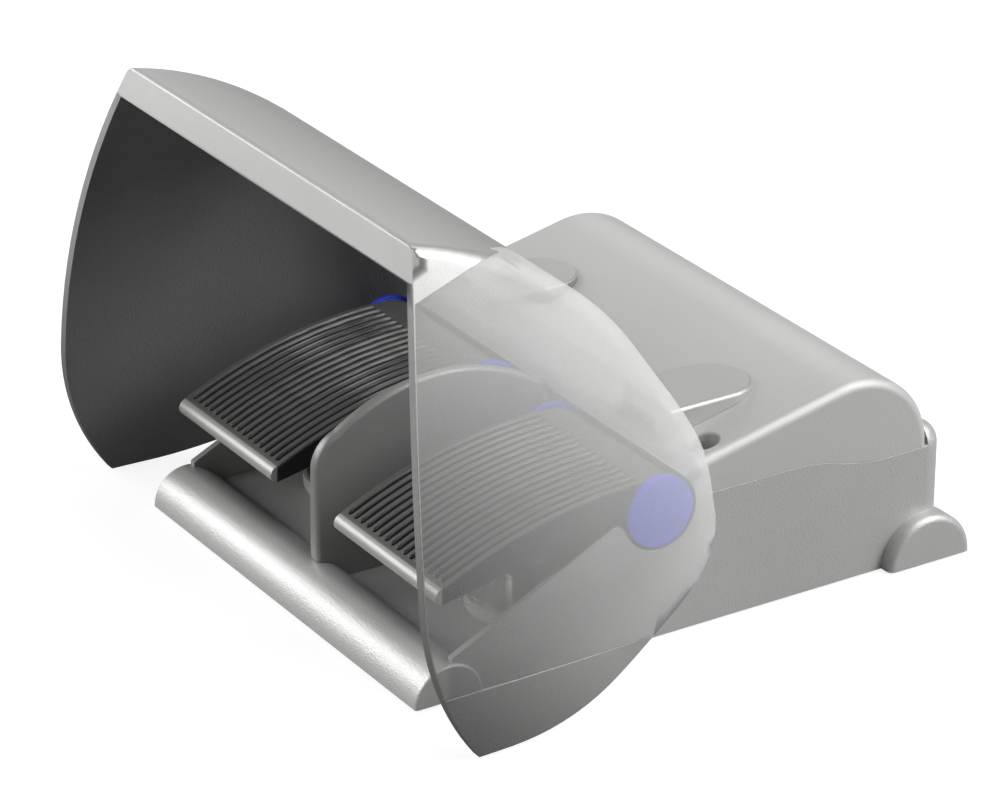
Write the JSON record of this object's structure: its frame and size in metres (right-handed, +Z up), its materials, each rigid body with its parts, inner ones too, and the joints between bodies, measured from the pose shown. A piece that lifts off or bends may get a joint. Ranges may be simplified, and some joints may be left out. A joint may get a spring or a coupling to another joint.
{
  "type": "foot switch",
  "caption": "Hooded foot switch with ribbed rocking pedals on blue-capped pivots, a divider fin, spring plungers below the pedals and a sloping rear cover over the contacts.",
  "frame": {"origin": "middle of the footprint, on the floor", "axes": "+X to the right across the pedals, +Y from the front bar to the cable gland, +Z up"},
  "size_m": [0.2986, 0.2856, 0.1978],
  "materials": {
    "housing_grey": "powder coated, fine leather-like grain, satin",
    "cover_grey": "powder coated, fine grain, satin",
    "hood_grey": "powder coated, fine grain, satin",
    "pedal_dark": "satin, glass filled",
    "cap_blue": "smooth satin",
    "turret_light": "smooth satin",
    "plate_steel": "brushed",
    "steel": "turned, zinc plated",
    "bush_plastic": "smooth",
    "contact_plastic": "moulded matt",
    "gland_grey": "moulded satin",
    "seal_black": "matt rubber",
    "brass": "turned"
  },
  "bodies": {
    "housing": {"base_housing": "housing_grey", "top_cover": "cover_grey", "cover_gasket": "seal_black", "cover_screws": "steel", "protective_hood": "hood_grey", "hood_screws": "steel", "divider_fin": "housing_grey", "divider_screws": "steel", "rubber_pads": "seal_black", "gland_body": "gland_grey", "gland_locknut": "gland_grey", "gland_dome_nut": "gland_grey", "gland_seal": "seal_black", "terminal_strip": "contact_plastic", "earth_screw": "brass", "right_pivot_shaft": "steel", "right_spring_turret": "turret_light", "right_turret_plate": "plate_steel", "right_turret_screws": "steel", "right_plunger_spring": "steel", "right_contact_block": "contact_plastic", "right_contact_screws": "steel", "right_pin_seal": "seal_black", "left_pivot_shaft": "steel", "left_spring_turret": "turret_light", "left_turret_plate": "plate_steel", "left_turret_screws": "steel", "left_plunger_spring": "steel", "left_contact_block": "contact_plastic", "left_contact_screws": "steel", "left_pin_seal": "seal_black"},
    "right_pedal": {"right_pedal": "pedal_dark", "right_pedal_caps": "cap_blue", "right_pivot_bushes": "bush_plastic"},
    "right_plunger": {"right_plunger": "steel"},
    "right_switch_pin": {"right_switch_pin": "bush_plastic"},
    "left_pedal": {"left_pedal": "pedal_dark", "left_pedal_caps": "cap_blue", "left_pivot_bushes": "bush_plastic"},
    "left_plunger": {"left_plunger": "steel"},
    "left_switch_pin": {"left_switch_pin": "bush_plastic"}
  },
  "joints": [
    {"name": "right_pedal_hinge", "type": "hinge", "parent": "housing", "child": "right_pedal", "pos_m": [0.06335, -0.00865, 0.056], "axis": [1, 0, 0], "range_deg": [0, 8], "stiffness_Nm_per_rad": 4, "springref_deg": -20.05},
    {"name": "right_plunger_slide", "type": "slide", "parent": "housing", "child": "right_plunger", "axis": [0, 0, -1], "range_m": [0, 0.0056], "stiffness_N_per_m": 200, "springref_m": -0.002, "deforming": ["right_plunger_spring"]},
    {"name": "right_switch_pin_slide", "type": "slide", "parent": "housing", "child": "right_switch_pin", "axis": [0, 1, 0], "range_m": [0, 0.0039], "stiffness_N_per_m": 100, "springref_m": -0.002},
    {"name": "left_pedal_hinge", "type": "hinge", "parent": "housing", "child": "left_pedal", "pos_m": [-0.06335, -0.00865, 0.056], "axis": [1, 0, 0], "range_deg": [0, 8], "stiffness_Nm_per_rad": 4, "springref_deg": -20.05},
    {"name": "left_plunger_slide", "type": "slide", "parent": "housing", "child": "left_plunger", "axis": [0, 0, -1], "range_m": [0, 0.0056], "stiffness_N_per_m": 200, "springref_m": -0.002, "deforming": ["left_plunger_spring"]},
    {"name": "left_switch_pin_slide", "type": "slide", "parent": "housing", "child": "left_switch_pin", "axis": [0, 1, 0], "range_m": [0, 0.0039], "stiffness_N_per_m": 100, "springref_m": -0.002}
  ],
  "couplings": [
    {"joint": "right_plunger_slide", "follows": "right_pedal_hinge", "m_per_rad": 0.03983},
    {"joint": "right_switch_pin_slide", "follows": "right_pedal_hinge", "m_per_rad": 0.0277},
    {"joint": "left_plunger_slide", "follows": "left_pedal_hinge", "m_per_rad": 0.03983},
    {"joint": "left_switch_pin_slide", "follows": "left_pedal_hinge", "m_per_rad": 0.0277}
  ]
}
